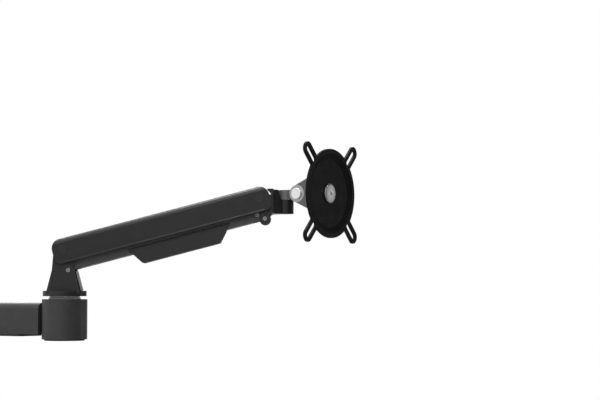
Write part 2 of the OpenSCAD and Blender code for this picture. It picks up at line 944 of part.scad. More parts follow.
module link_screws() {
    color(steel) at_arm() translate(tie_place) both_sides() difference() {
        union() {
            bar_y(tie_screw_r, link_inner - 8, link_outer);
            bar_y(tie_head_r, link_outer - tie_head + face_gap, link_outer + face_gap);
        }
        hex_y(tie_head_r / 2, link_outer - tie_head, link_outer + 1);
    }
}

module cover_outline(inset) {
    polygon([
        [cover_rear + inset, -cover_top], [cover_rear_foot + inset / 2, inset - cover_bottom],
        [cover_front_foot - inset / 2, inset - cover_bottom], [cover_front - inset, -cover_top]
    ]);
}

module cable_cover() {
    half = link_outer + face_gap + cover_wall;
    ledge_margin = 5;
    ledge = [cover_rear_foot + ledge_margin, cover_front_foot - ledge_margin];
    ledge_width = 2.5;
    ledge_thick = 3;
    mouth_half = 12;
    color(plastic_black) at_arm() {
        difference() {
            slab_y(-half, half) cover_outline(0);
            slab_y(-link_outer - face_gap, link_outer + face_gap) {
                cover_outline(cover_wall);
                span([cover_rear, link_z - face_gap], [cover_front, 1 - cover_top]);
            }
            block([0, -mouth_half, 2 * cover_wall - cover_bottom], [arm_reach, mouth_half, link_z - 1]);
        }
        both_sides() block([ledge[0], link_outer - ledge_width, link_z - ledge_thick],
            [ledge[1], link_outer + 1, link_z - face_gap]);
    }
}

// ---------- front bracket ----------

// Side view of one ear, in the level frame on the front lift pivot
module ear_outline() {
    crown = 10.8;
    lobe_r = 6;
    fillet = 4.5;
    belly = [-7.5, -11];
    neck = [1, -16.6];
    drop = bracket_head_bottom - fillet;
    reach = lobe_r + fillet - face_gap;
    fillet_x = link_pivot[0] + sqrt(pow(reach, 2) - pow(drop - link_pivot[1], 2));
    circle(crown);
    span([0, bracket_head_bottom], [14, bracket_step]);
    translate(link_pivot) circle(lobe_r);
    polygon([
        [0.2 - crown, -2], [0, 0], link_pivot, link_pivot - [lobe_r - 0.2, -1], neck, belly
    ]);
    difference() {
        polygon([
            [0, bracket_head_bottom], [fillet_x, bracket_head_bottom], [fillet_x, drop], link_pivot, [0, drop]
        ]);
        translate([fillet_x, drop]) circle(fillet);
    }
}

// Plan of the block between the ears and the hub
module head_plan() {
    hub = swivel_hub_d / 2;
    rear = 8;
    shoulder = 16;
    waist = swivel_offset - 4.4;
    polygon([
        [rear, -ear_outer], [shoulder, -ear_outer], [waist, -hub], [swivel_offset, -hub],
        [swivel_offset, hub], [waist, hub], [shoulder, ear_outer], [rear, ear_outer]
    ]);
    translate([swivel_offset, 0]) circle(d = swivel_hub_d);
}

// Thin round skin between the ears, under the shell's roof
module hood_back() {
    difference() {
        circle(hood_back_r);
        circle(hood_back_r - hood_skin);
        span([-far, -far], [far, 0]);
        polygon([[0, 0], far * [-1, 0], far * [-1, 1]]);
    }
}

module front_bracket() {
    cup_r = 10;
    cut_back = 6.9;
    sweep_r = shell_above + 0.5;
    color(cast_black) at_front() difference() {
        union() {
            both_sides() slab_y(ear_inner, ear_outer) ear_outline();
            slab_y(-ear_middle, ear_middle) hood_back();
            intersection() {
                translate([0, 0, bracket_head_bottom]) linear_extrude(far) head_plan();
                slab_y(-far, far) difference() {
                    union() {
                        span([13, bracket_head_bottom], [far, bracket_step]);
                        span([8, bracket_step], [16.4, bracket_head_top]);
                        span([16, bracket_step - 1], [far, yoke_top]);
                    }
                    translate([swivel_offset + 0.5, yoke_top]) circle(cup_r);
                    span([swivel_offset - cut_back, hub_head_top], [far, far]);
                    difference() {
                        circle(sweep_r);
                        span([-far, -far], [far, bracket_step]);
                    }
                }
            }
        }
        translate([swivel_offset, 0, 0]) {
            disc(neck_d / 2 + side_gap, hub_head_top, far);
            disc(m6[0] + running_fit, -far, far);
            disc(m6[1] + side_gap, -far, spring_seat);
        }
        bar_y(lift_pin_r + face_gap, -far, far);
        translate([link_pivot[0], 0, link_pivot[1]]) both_sides()
            bar_y(link_pin_r + face_gap, ear_inner - 1, ear_outer + 1);
    }
}

module front_lift_pins() {
    color(steel) at_front() lift_pins();
}

module front_link_pins() {
    color(steel) at_front() link_pins();
}

module swivel_washer() {
    color(nylon) at_swivel() tube(neck_d / 2 - 1, m6[0] + screw_gap, hub_head_top + face_gap,
        yoke_bottom - face_gap);
}

module swivel_spring() {
    color(steel) at_swivel()
        tube(m6[1], m6[0] + screw_gap, spring_seat - thin_washer, spring_seat - face_gap);
}

module swivel_bolt() {
    seat = spring_seat - thin_washer;
    reach = yoke_top - seat - 0.4;
    color(steel) at_swivel() translate([0, 0, seat]) rotate([180, 0, 0]) cap_screw(m6, reach);
}

module swivel_nut() {
    seat = yoke_top - nut_pocket + face_gap;
    color(steel) at_swivel() difference() {
        disc(m6_hex_r, seat, seat + nut_thick, $fn = 6);
        disc(m6[0] + face_gap, 0, far);
    }
}

// ---------- head ----------

module swivel_yoke() {
    arm_half = 7.5;
    waist = -neck_d / 2;
    knee = [13, 6.5 - tilt_offset];
    color(head_grey) at_swivel() difference() {
        union() {
            disc(neck_d / 2, yoke_bottom, yoke_top);
            translate([0, 0, yoke_bottom]) linear_extrude(yoke_top - yoke_bottom) polygon([
                [-arm_half, 0], [-arm_half, waist], [-knee[0], knee[1]], [-barrel_half, -tilt_offset],
                [barrel_half, -tilt_offset], [knee[0], knee[1]], [arm_half, waist], [arm_half, 0]
            ]);
            translate([0, -tilt_offset, tilt_height]) bar_x(barrel_d / 2, -barrel_half, barrel_half);
        }
        disc(m6[0] + face_gap, -far, far);
        disc(m6_hex_r + hex_gap, yoke_top - nut_pocket, far);
        translate([0, -tilt_offset, tilt_height]) bar_x(m6[0] + running_fit, -far, far);
    }
}

module tilt_washers() {
    color(nylon) at_tilt() both_ears() difference() {
        bar_x(barrel_d / 2, tilt_washer_x, tilt_washer_x + thin_washer);
        bar_x(m6[0] + running_fit, 0, far);
    }
}

// Side view of an ear of the tilt bracket
module tilt_ear_outline() {
    start = (ear_boss_d / 2 - face_gap) * [sin(flare), cos(flare)];
    foot = start[1] + (start[0] + base_front) * tan(flare);
    circle(d = ear_boss_d);
    polygon([start, [-base_front, foot], [-base_front, -foot], [start[0], -start[1]]]);
}

module tilt_bracket() {
    sleeve_r = 9;
    sleeve_back = 13.5;
    color(head_grey) at_tilt() difference() {
        union() {
            difference() {
                slab_x(-ear_x_outer, ear_x_outer) tilt_ear_outline();
                block([-ear_x, -base_back, -far], [ear_x, far, far]);
            }
            bar_y(sleeve_r, -base_front, -sleeve_back);
        }
        bar_y(m8[0] + face_gap, -far, 0);
        both_ears() {
            bar_x(m6[0] + face_gap, 0, far);
            bar_x(m6_hex_r + hex_gap, tilt_seat, far);
        }
    }
}

module tilt_bolt() {
    reach = 2 * tilt_seat + tilt_nut_thick;
    color(steel) at_tilt() translate([-tilt_seat, 0, 0]) rotate([0, -90, 0]) cap_screw(m6, reach);
}

module tilt_nut() {
    color(steel) at_tilt() difference() {
        bar_x(m6_hex_r, tilt_seat + face_gap, tilt_seat + tilt_nut_thick, $fn = 6);
        bar_x(m6[0] + face_gap, 0, far);
    }
}

module tilt_caps() {
    color(steel) at_tilt() both_ears() {
        bar_x(tilt_cap_d / 2, ear_x_outer + face_gap, ear_x_outer + cap_thick);
        bar_x(cap_plug_r, tilt_seat + m6[2] + face_gap, ear_x_outer + 1);
    }
}

module rotation_washer() {
    color(nylon) at_tilt() difference() {
        bar_y(rotation_washer_r, face_gap - dish_back, -base_front - face_gap);
        bar_y(m8[0] + screw_gap, -far, 0);
    }
}

module rotation_spring() {
    color(steel) at_tilt() difference() {
        bar_y(bolt_head_d / 2 - 1, -dish_face - thin_washer, -dish_face - face_gap);
        bar_y(m8[0] + screw_gap, -far, 0);
    }
}

module centre_bolt() {
    seat = dish_face + thin_washer + face_gap;
    tip = 15;
    crown = 1;
    crown_in = 2.2;
    hex_depth = 0.7 * socket_depth;
    face = screw_gap - plate_offset;
    color(steel) at_tilt() difference() {
        union() {
            bar_y(bolt_head_d / 2, face + crown, -seat);
            translate([0, face, 0]) rotate([-90, 0, 0])
                cylinder(r1 = bolt_head_d / 2 - crown_in, r2 = bolt_head_d / 2, h = crown);
            bar_y(m8[0], -seat - 1, -tip);
        }
        hex_y(m8[0] / sqrt(3), -plate_offset, face + hex_depth);
    }
}

// Flat outline of the disc and its four ears
module plate_outline() {
    circle(d = disc_d);
    for (a = [45 : 90 : 315]) rotate(a) {
        span([0, -ear_width / 2], [slot_outer, ear_width / 2]);
        translate([slot_outer, 0]) circle(d = ear_width);
    }
}

// One slot, from the small hole pattern to the large one
module slot_outline() {
    span([slot_inner, -slot_width / 2], [slot_outer, slot_width / 2]);
    for (r = [slot_inner, slot_outer]) translate([r, 0]) circle(d = slot_width);
}

// Its front face lies at z = 0, with the dish pressed back behind it
module screen_plate() {
    floor_r = dish_floor_d / 2;
    mouth_r = dish_mouth_d / 2;
    color(cast_black) at_tilt() translate([0, -plate_offset, 0]) rotate([-90, 0, 0]) difference() {
        union() {
            linear_extrude(plate_thick) plate_outline();
            translate([0, 0, plate_thick / 2]) cylinder(r = mouth_r + dish_bend, h = plate_thick / 2);
            translate([0, 0, plate_thick])
                cylinder(r1 = mouth_r + dish_bend, r2 = floor_r + dish_bend, h = dish_depth);
        }
        translate([0, 0, -dish_depth])
            cylinder(r1 = 2 * mouth_r - floor_r, r2 = floor_r, h = 2 * dish_depth);
        disc(m8[0] + running_fit, -1, far);
        for (a = [45 : 90 : 315]) rotate(a) translate([0, 0, -1])
            linear_extrude(plate_thick + 2) slot_outline();
    }
}

base_pad();
base_plate();
post();
post_screw();
post_washer();
post_retainer();
post_retainer_screw();
clamp_bracket();
bracket_screws();
clamp_pad();
clamp_pad_rubber();
clamp_screw();
clamp_pad_ring();
clamp_knob();
lower_arm();
post_bush_lower();
post_bush_upper();
hub_cap();
friction_screw();
friction_tip();
lower_cable_cover();
elbow_bush_lower();
elbow_bush_upper();
elbow_cap();
elbow_washer();
rear_bracket();
elbow_retainer();
elbow_screw();
rear_lift_pins();
rear_link_pins();
tension_screw();
tension_nut();
arm_shell();
pivot_bushes();
pivot_caps();
gas_pin();
gas_cylinder();
gas_rod();
lower_link();
link_tie();
link_screws();
cable_cover();
front_bracket();
front_lift_pins();
front_link_pins();
swivel_bolt();
swivel_spring();
swivel_washer();
swivel_nut();
swivel_yoke();
tilt_washers();
tilt_bracket();
tilt_bolt();
tilt_nut();
tilt_caps();
rotation_washer();
rotation_spring();
centre_bolt();
screen_plate();
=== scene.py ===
"""Looks of the monitor arm: studio, camera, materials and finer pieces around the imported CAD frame."""
import json
import math

import bmesh
import bpy
from mathutils import Matrix, Vector


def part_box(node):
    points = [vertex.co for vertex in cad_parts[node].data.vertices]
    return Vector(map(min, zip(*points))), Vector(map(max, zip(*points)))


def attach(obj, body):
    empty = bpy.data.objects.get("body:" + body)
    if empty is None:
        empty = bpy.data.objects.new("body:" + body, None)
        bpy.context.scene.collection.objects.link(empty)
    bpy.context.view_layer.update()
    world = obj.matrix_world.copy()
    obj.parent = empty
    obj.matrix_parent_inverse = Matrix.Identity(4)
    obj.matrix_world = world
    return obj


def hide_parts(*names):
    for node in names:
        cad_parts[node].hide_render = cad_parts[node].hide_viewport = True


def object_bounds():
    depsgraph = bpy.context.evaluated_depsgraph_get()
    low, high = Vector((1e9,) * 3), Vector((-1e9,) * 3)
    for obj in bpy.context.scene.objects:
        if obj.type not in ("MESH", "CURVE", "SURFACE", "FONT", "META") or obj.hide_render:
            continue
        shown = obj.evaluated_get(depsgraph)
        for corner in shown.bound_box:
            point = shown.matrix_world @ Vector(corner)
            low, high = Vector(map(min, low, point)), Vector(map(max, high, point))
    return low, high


# Lengths are in millimetres and angles in degrees, unless a comment says otherwise
MM = 0.001
WHITE = (1, 1, 1, 1)

# Camera: its direction from the head, its lens, and how far left of the tilt bolt and below it
# it aims; its distance and its clip range are in metres
CAMERA_AZIMUTH, CAMERA_RISE = -57.2, -2.85
CAMERA_DISTANCE = 2.133
CAMERA_CLIP = (0.05, 60)
CAMERA_LENS, CAMERA_SENSOR = 108, 36
AIM_LEFT, AIM_BELOW = 7.5, 6.8

# World: its light on the object, and what glossy surfaces mirror, which goes from bright to dark
# as a direction's part along DARK_WAY rises from DARK_FROM to DARK_TO
WORLD_LIGHT = 0.5
REFLECTED_BRIGHT, REFLECTED_DARK = 0.9, 0.05
DARK_WAY = (0.3, -0.95, 0)
DARK_FROM, DARK_TO = -0.1, 0.5

# Floor: its radius in metres, the parts of that where it starts and ends its fade to white, its
# depth under the object, its sides, its paint, and how brightly it glows and is mirrored
FLOOR_RADIUS = 1.6
FLOOR_FADE = (0.35, 0.95)
FLOOR_DROP = 33
FLOOR_SIDES = 96
FLOOR_PAINT = (0.8, 0.8, 0.8, 1)
FLOOR_GLOW = 0.45
FLOOR_REFLECTED = 0.3

# Disk lamps: what each one looks at, its place from there and its width in metres, and its watts
LAMPS = (
    ("key", "arm", (-1.6, -1.5, 1.7), 1.4, 34),
    ("top", "arm", (0.2, 0.1, 2.2), 1.3, 66),
    ("back", "arm", (1.3, 1.7, 1.1), 1.4, 20),
    ("rim", "head", (2.016, -1.296, 0.12), 0.9, 2.3),
)

# Bare metal round each tilt cap: its radius, its soft edge and its depth from the ear's face
BARE_RADIUS, BARE_EDGE, BARE_DEPTH = 10.2, 0.2, 0.35
# Metres between the crests of a wave texture whose scale is 1
WAVE_LENGTH = math.tau / 20
# Nodes that show bright metal whatever their slot, by the end of their name
BRIGHT_ENDS = ("link_pins", "link_screws")
# Way that their fine lines circle; it lies nearly in their faces, so the lines cross them straight
BRIGHT_LINES = (-0.70126, 0.7129, 0)

# Edge radius of each node; the rest get DEFAULT_EDGE
EDGES = {
    "arm_shell": 0.5, "lower_arm": 0.9, "rear_bracket": 0.7, "front_bracket": 0.7, "swivel_yoke": 0.7,
    "tilt_bracket": 0.7, "lower_link": 0.4, "cable_cover": 0.6, "base_plate": 0.9,
    "clamp_bracket": 1.0, "clamp_knob": 1.2, "lower_cable_cover": 0.5, "post": 0.6, "hub_cap": 0.7,
    "elbow_cap": 0.5, "centre_bolt": 1.1, "tilt_caps": 0.4, "screen_plate": 1.0,
}
DEFAULT_EDGE = 0.25
EDGE_SEGMENTS = 3
# Least angle of an edge that is rounded, by node; the rest get DEFAULT_ANGLE
LEAST_ANGLES = {"centre_bolt": 12}
DEFAULT_ANGLE = 26
# A CAD node's points this close are welded, its faces this nearly flat become one, and a weight
# over 50 lets its large faces lead the normals
WELD_GAP, FLAT_ANGLE, FACE_WEIGHT = 0.002, 0.6, 90
# A finer piece's points this close are welded, and its edges are sharp from this angle
JOIN_GAP, SHARP_ANGLE = 0.001, 32

# Plate's bolt: its head's thickness, its dome's rise, the radius of its shank and of its dimple,
# and its small edges
BOLT_HEAD, BOLT_DOME = 2.3, 0.8
BOLT_SHANK, BOLT_DIMPLE = 4, 2.2
BOLT_EDGE = 0.5
# Dimple's outline: part of its radius, and depth
DIMPLE_OUTLINE = ((0, 0.55), (0.55, 0.5), (0.85, 0.25))
DOME_STEPS = 8

# Clamp's screw: its thread's depth and pitch, its neck, its spigot's radius and its small edges
THREAD_DEPTH, THREAD_PITCH = 1.3, 5
# Thread's outline over one pitch: part of the pitch, and part of the depth above the root
THREAD_OUTLINE = ((0, 0), (0.2, 0), (0.36, 1), (0.64, 1), (0.8, 0))
THREAD_STEPS = 40
SCREW_SIDES = 64
NECK_LENGTH, NECK_STEP, NECK_RISE, NECK_EDGE = 6, 0.4, 0.6, 0.5
SPIGOT_RADIUS, SPIGOT_EDGE = 4, 0.4
# Length of the plain core inside each open end of the thread
CORE_LENGTH = 1

# Post's cap: its crown, as parts of its radius and drops from its top
CAP_CROWN = ((0, 0), (0.45, 0.12), (0.62, 0.3))
# Groove in the cap: its middle as a part of the radius, and its outline out from there and down
GROOVE_AT = 0.7
GROOVE_OUTLINE = ((-0.9, 0.4), (-0.5, 0.9), (0.5, 0.95), (0.9, 0.55))
# The cap's rounded rim, and how far the cap stands off the arm
RIM_WIDTH, RIM_HEIGHT, RIM_DROP = 1.4, 1.3, 2.0
RIM_STEPS = 6
CAP_LIFT = 0.05

# Arm's shell: half its width, its lower edge under the pins, and its straight end past them
SHELL_HALF, SHELL_BELOW, SHELL_END = 24, 15.6, 3
# Lip along that edge: its section, out from the shell's side and up from its edge; the length over
# which each end tapers, and the part of its width that is left there
LIP_SECTION = ((-0.3, 2.4), (0.1, 2.3), (0.42, 1.1), (0.5, 0.45), (0.32, 0.05), (-0.3, -0.02))
LIP_TAPER, LIP_END = 3, 0.25

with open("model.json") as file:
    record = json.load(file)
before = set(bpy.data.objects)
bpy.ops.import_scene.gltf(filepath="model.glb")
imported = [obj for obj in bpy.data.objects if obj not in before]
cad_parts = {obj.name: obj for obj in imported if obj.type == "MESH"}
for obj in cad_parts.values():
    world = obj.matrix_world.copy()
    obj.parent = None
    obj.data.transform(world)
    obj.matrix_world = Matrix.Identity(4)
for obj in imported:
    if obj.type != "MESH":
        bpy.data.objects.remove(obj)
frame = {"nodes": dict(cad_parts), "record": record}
nodes = frame["nodes"]
cad_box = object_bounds()


def middle(node):
    """Centre of a CAD node's box."""
    low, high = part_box(node)
    return (low + high) / 2


def show(thing):
    """Puts an object into the scene."""
    bpy.context.scene.collection.objects.link(thing)


# ---------- node graphs ----------

class Graph:
    """A node tree, with short ways to add its nodes and to join them."""

    def __init__(self, tree):
        self.tree = tree

    def feed(self, socket, value):
        """Sets an input to a value, or joins it to another node's output."""
        if isinstance(value, bpy.types.NodeSocket):
            self.tree.links.new(value, socket)
        else:
            socket.default_value = value

    def node(self, kind, **inputs):
        """A new node; From_Min=1 feeds its input that is named From Min."""
        made = self.tree.nodes.new(kind)
        for key, value in inputs.items():
            self.feed(made.inputs[key.replace("_", " ")], value)
        return made

    def number(self, operation, *values, kind="ShaderNodeMath"):
        """Number that a math node makes of its inputs, which are fed in order."""
        made = self.tree.nodes.new(kind)
        made.operation = operation
        for socket, value in zip(made.inputs, values):
            self.feed(socket, value)
        return made.outputs["Value"]

    def measure(self, operation, *vectors):
        """Number that a vector math node makes of its inputs."""
        return self.number(operation, *vectors, kind="ShaderNodeVectorMath")

    def ranged(self, value, start, end, low=0, high=1, smooth=False):
        """Goes from low to high as value goes from start to end."""
        made = self.node("ShaderNodeMapRange", Value=value, From_Min=start, From_Max=end,
                         To_Min=low, To_Max=high)
        if smooth:
            made.interpolation_type = "SMOOTHSTEP"
        return made.outputs["Result"]

    def white(self, kind, strength):
        """White light from a node of this kind."""
        return self.node(kind, Color=WHITE, Strength=strength).outputs[0]

    def mixed(self, factor, first, second):
        """Shader that goes from first to second as factor goes from 0 to 1."""
        made = self.node("ShaderNodeMixShader", Fac=factor)
        self.feed(made.inputs[1], first)
        self.feed(made.inputs[2], second)
        return made.outputs[0]


# ---------- camera, floor and light ----------

def make_camera():
    """Long lens on the head, from the plate's left and slightly from below."""
    azimuth, rise = math.radians(CAMERA_AZIMUTH), math.radians(CAMERA_RISE)
    right = Vector((math.cos(azimuth), math.sin(azimuth), 0))
    level = Vector((math.sin(azimuth), -math.cos(azimuth), 0))
    back = math.cos(rise) * level + math.sin(rise) * Vector((0, 0, 1))
    up = back.cross(right)
    aim = middle("tilt_bolt") - AIM_LEFT * MM * right - AIM_BELOW * MM * up
    data = bpy.data.cameras.new("camera")
    data.lens, data.sensor_width = CAMERA_LENS, CAMERA_SENSOR
    data.clip_start, data.clip_end = CAMERA_CLIP
    camera = bpy.data.objects.new("camera", data)
    camera.location = aim + back * CAMERA_DISTANCE
    camera.rotation_euler = (-back).to_track_quat("-Z", "Y").to_euler()
    show(camera)
    bpy.context.scene.camera = camera


def make_world():
    """White round the object; what glossy surfaces mirror of it goes dark towards DARK_WAY."""
    world = bpy.data.worlds.new("studio")
    bpy.context.scene.world = world
    world.use_nodes = True
    g = Graph(world.node_tree)
    g.tree.nodes.clear()
    way = g.node("ShaderNodeTexCoord").outputs["Generated"]
    ahead = g.measure("DOT_PRODUCT", way, DARK_WAY)
    dimmed = g.ranged(ahead, DARK_FROM, DARK_TO, REFLECTED_BRIGHT, REFLECTED_DARK, smooth=True)
    path = g.node("ShaderNodeLightPath").outputs
    seen = g.number("MAXIMUM", path["Is Camera Ray"], path["Is Transmission Ray"])
    kind = "ShaderNodeBackground"
    lit = g.mixed(path["Is Glossy Ray"], g.white(kind, WORLD_LIGHT), g.white(kind, dimmed))
    g.node("ShaderNodeOutputWorld", Surface=g.mixed(seen, lit, g.white(kind, 1)))


def floor_material():
    """Pale paint that glows and fades to white outwards, and that is mirrored as a dim grey."""
    material = bpy.data.materials.new("floor_white")
    material.use_nodes = True
    g = Graph(material.node_tree)
    g.tree.nodes.clear()
    reach = g.measure("LENGTH", g.node("ShaderNodeTexCoord").outputs["Object"])
    start, end = (part * FLOOR_RADIUS for part in FLOOR_FADE)
    kind = "ShaderNodeEmission"
    paint = g.node("ShaderNodeBsdfDiffuse", Color=FLOOR_PAINT).outputs[0]
    glowing = g.node("ShaderNodeAddShader")
    g.feed(glowing.inputs[0], paint)
    g.feed(glowing.inputs[1], g.white(kind, FLOOR_GLOW))
    faded = g.mixed(g.ranged(reach, start, end, smooth=True), glowing.outputs[0], g.white(kind, 1))
    path = g.node("ShaderNodeLightPath").outputs
    mirrored = g.mixed(path["Is Glossy Ray"], paint, g.white(kind, FLOOR_REFLECTED))
    g.node("ShaderNodeOutputMaterial", Surface=g.mixed(path["Is Camera Ray"], mirrored, faded))
    return material


def make_floor():
    """Round floor just below the clamp knob's lowest reach, which keeps the shadow."""
    centre = (cad_box[0] + cad_box[1]) / 2
    mesh = bpy.data.meshes.new("floor")
    form = bmesh.new()
    bmesh.ops.create_circle(form, cap_ends=True, radius=FLOOR_RADIUS, segments=FLOOR_SIDES)
    form.to_mesh(mesh)
    form.free()
    mesh.materials.append(floor_material())
    floor = bpy.data.objects.new("floor", mesh)
    floor.location = (centre.x, centre.y, cad_box[0].z - FLOOR_DROP * MM)
    show(floor)


def make_lamps():
    """The disk lamps, each turned to what it looks at."""
    aims = {"arm": (cad_box[0] + cad_box[1]) / 2, "head": middle("centre_bolt")}
    for name, aim, offset, width, watts in LAMPS:
        data = bpy.data.lights.new(name, "AREA")
        data.shape, data.size, data.energy = "DISK", width, watts
        lamp = bpy.data.objects.new(name, data)
        lamp.location = aims[aim] + Vector(offset)
        lamp.rotation_euler = (-Vector(offset)).to_track_quat("-Z", "Y").to_euler()
        show(lamp)


# ---------- materials ----------

class Shader(Graph):
    """One material: a Principled shader whose inputs take procedural patterns."""

    def __init__(self, name, colour, roughness, metallic=0.0, specular=0.5):
        self.material = bpy.data.materials.new(name)
        self.material.use_nodes = True
        super().__init__(self.material.node_tree)
        self.bsdf = self.tree.nodes["Principled BSDF"]
        self.bsdf.inputs["Base Color"].default_value = (*colour, 1)
        self.bsdf.inputs["Roughness"].default_value = roughness
        self.bsdf.inputs["Metallic"].default_value = metallic
        self.bsdf.inputs["Specular IOR Level"].default_value = specular
        self.colour, self.roughness = colour, roughness
        self.place = self.node("ShaderNodeTexCoord").outputs["Object"]
        self.normal = None

    def noise(self, grain, detail, place=None, roughness=0.55):
        """Noise from 0 to 1 whose features are grain millimetres across."""
        made = self.node("ShaderNodeTexNoise", Vector=place or self.place, Scale=1 / (grain * MM),
                         Detail=detail, Roughness=roughness)
        return made.outputs["Fac"]

    def spread(self, source, low, high):
        """The middle part of a noise, spread from low to high."""
        return self.ranged(source, 0.3, 0.7, low, high)

    def tint(self, source, low, high):
        """Base colour that varies from low to high times the material's own."""
        ramp = self.tree.nodes.new("ShaderNodeMix")
        ramp.data_type = "RGBA"
        self.feed(ramp.inputs[0], self.spread(source, 0, 1))
        for socket, share in ((ramp.inputs[6], low), (ramp.inputs[7], high)):
            socket.default_value = (*[min(1, share * part) for part in self.colour], 1)
        self.feed(self.bsdf.inputs["Base Color"], ramp.outputs[2])

    def gloss(self, source, less, more):
        """Roughness that varies from less below the material's own to more above it."""
        varied = self.spread(source, self.roughness - less, self.roughness + more)
        self.feed(self.bsdf.inputs["Roughness"], varied)

    def bump(self, source, height, strength=1.0):
        """Surface relief of height millimetres, added to what is there."""
        made = self.node("ShaderNodeBump", Height=source, Strength=strength, Distance=height * MM)
        if self.normal:
            self.feed(made.inputs["Normal"], self.normal)
        self.normal = made.outputs["Normal"]
        self.feed(self.bsdf.inputs["Normal"], self.normal)

    def about(self, centre, axis):
        """Distance from the axis through centre, and height along it."""
        turn = Vector(axis).normalized().rotation_difference(Vector((0, 0, 1)))
        place = self.node("ShaderNodeMapping", Vector=self.place, Rotation=turn.to_euler(),
                          Location=-(turn @ Vector(centre)))
        split = self.node("ShaderNodeSeparateXYZ", Vector=place.outputs[0]).outputs
        flat = self.node("ShaderNodeCombineXYZ", X=split["X"], Y=split["Y"])
        return self.measure("LENGTH", flat.outputs[0]), split["Z"]


def spray(s, relief):
    """A sprayed coat's fine orange peel, faint cloudiness and slightly uneven gloss."""
    s.tint(s.noise(38, 2), 0.9, 1.12)
    s.gloss(s.noise(11, 3), 0.05, 0.06)
    s.bump(s.noise(0.9, 2), relief, 0.6)


def powder_coat(name, colour, roughness=0.42, relief=0.012, specular=0.5):
    """Satin powder coat."""
    s = Shader(name, colour, roughness, specular=specular)
    spray(s, relief)
    return s.material


def moulded_plastic(name, colour, roughness=0.5):
    """Spark-textured plastic."""
    s = Shader(name, colour, roughness)
    s.tint(s.noise(25, 2), 0.92, 1.1)
    s.gloss(s.noise(6, 2), 0.06, 0.07)
    s.bump(s.noise(0.45, 3, roughness=0.7), 0.02, 0.7)
    return s.material


def ribbed_rubber(name, colour, pitch):
    """Rubber with round ribs moulded pitch millimetres apart about the post's axis."""
    s = Shader(name, colour, 0.8)
    ribs = s.node("ShaderNodeTexWave", Vector=s.place, Scale=WAVE_LENGTH / (pitch * MM))
    ribs.wave_type, ribs.rings_direction = "RINGS", "Z"
    s.bump(ribs.outputs["Fac"], 0.5)
    s.tint(s.noise(9, 4), 0.8, 1.3)
    s.gloss(s.noise(3, 3), 0.08, 0.1)
    s.bump(s.noise(0.6, 4), 0.03, 0.8)
    return s.material


def head_paint(name, colour, ring_colour):
    """Grey coat of the tilt bracket, cut back to bare metal round the caps on its two ears."""
    s = Shader(name, colour, 0.42)
    spray(s, 0.02)
    low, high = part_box("tilt_bracket")
    bolt = middle("tilt_bolt")
    reach, height = s.about(((low.x + high.x) / 2, bolt.y, bolt.z), (1, 0, 0))
    near = s.ranged(reach, BARE_RADIUS * MM, (BARE_RADIUS + BARE_EDGE) * MM, 1, 0)
    ear_face = (high.x - low.x) / 2
    outer = s.number("GREATER_THAN", s.number("ABSOLUTE", height), ear_face - BARE_DEPTH * MM)
    rings = s.node("ShaderNodeCombineXYZ", X=reach).outputs[0]
    turned_lines = s.spread(s.noise(0.2, 2, place=rings), 0.3, 0.5)
    bare = s.node("ShaderNodeBsdfPrincipled", Base_Color=(*ring_colour, 1), Metallic=1.0,
                  Roughness=turned_lines)
    both = s.mixed(s.number("MULTIPLY", near, outer), s.bsdf.outputs[0], bare.outputs[0])
    s.feed(s.tree.nodes["Material Output"].inputs["Surface"], both)
    return s.material


def brushed_round(name, colour, roughness):
    """Satin metal brushed in circles about Y, through the middle of the piece's own box."""
    s = Shader(name, colour, roughness, metallic=1.0)
    s.tint(s.noise(5, 2), 0.94, 1.05)
    s.gloss(s.noise(1.2, 3), 0.05, 0.06)
    round_way = s.node("ShaderNodeTangent")
    round_way.direction_type, round_way.axis = "RADIAL", "Y"
    s.feed(s.bsdf.inputs["Anisotropic"], 0.65)
    s.feed(s.bsdf.inputs["Tangent"], round_way.outputs[0])
    s.bump(s.noise(0.5, 2), 0.003, 0.5)
    return s.material


def turned_metal(name, colour, centre, axis, roughness):
    """Machined metal: fine rings round an axis through centre, broken up a little."""
    s = Shader(name, colour, roughness, metallic=1.0)
    reach, height = s.about(centre, axis)
    rings = s.node("ShaderNodeCombineXYZ", X=reach, Z=height).outputs[0]
    line = s.noise(0.16, 2, place=rings)
    s.tint(s.noise(7, 2), 0.92, 1.06)
    s.gloss(line, 0.07, 0.1)
    s.bump(line, 0.006, 0.7)
    return s.material


def plated_steel(name, colour, roughness=0.3):
    """Plated or blackened metal, faintly blotched."""
    s = Shader(name, colour, roughness, metallic=1.0)
    s.tint(s.noise(5, 3), 0.88, 1.08)
    s.gloss(s.noise(1.6, 3), 0.08, 0.12)
    s.bump(s.noise(0.3, 2), 0.004, 0.6)
    return s.material


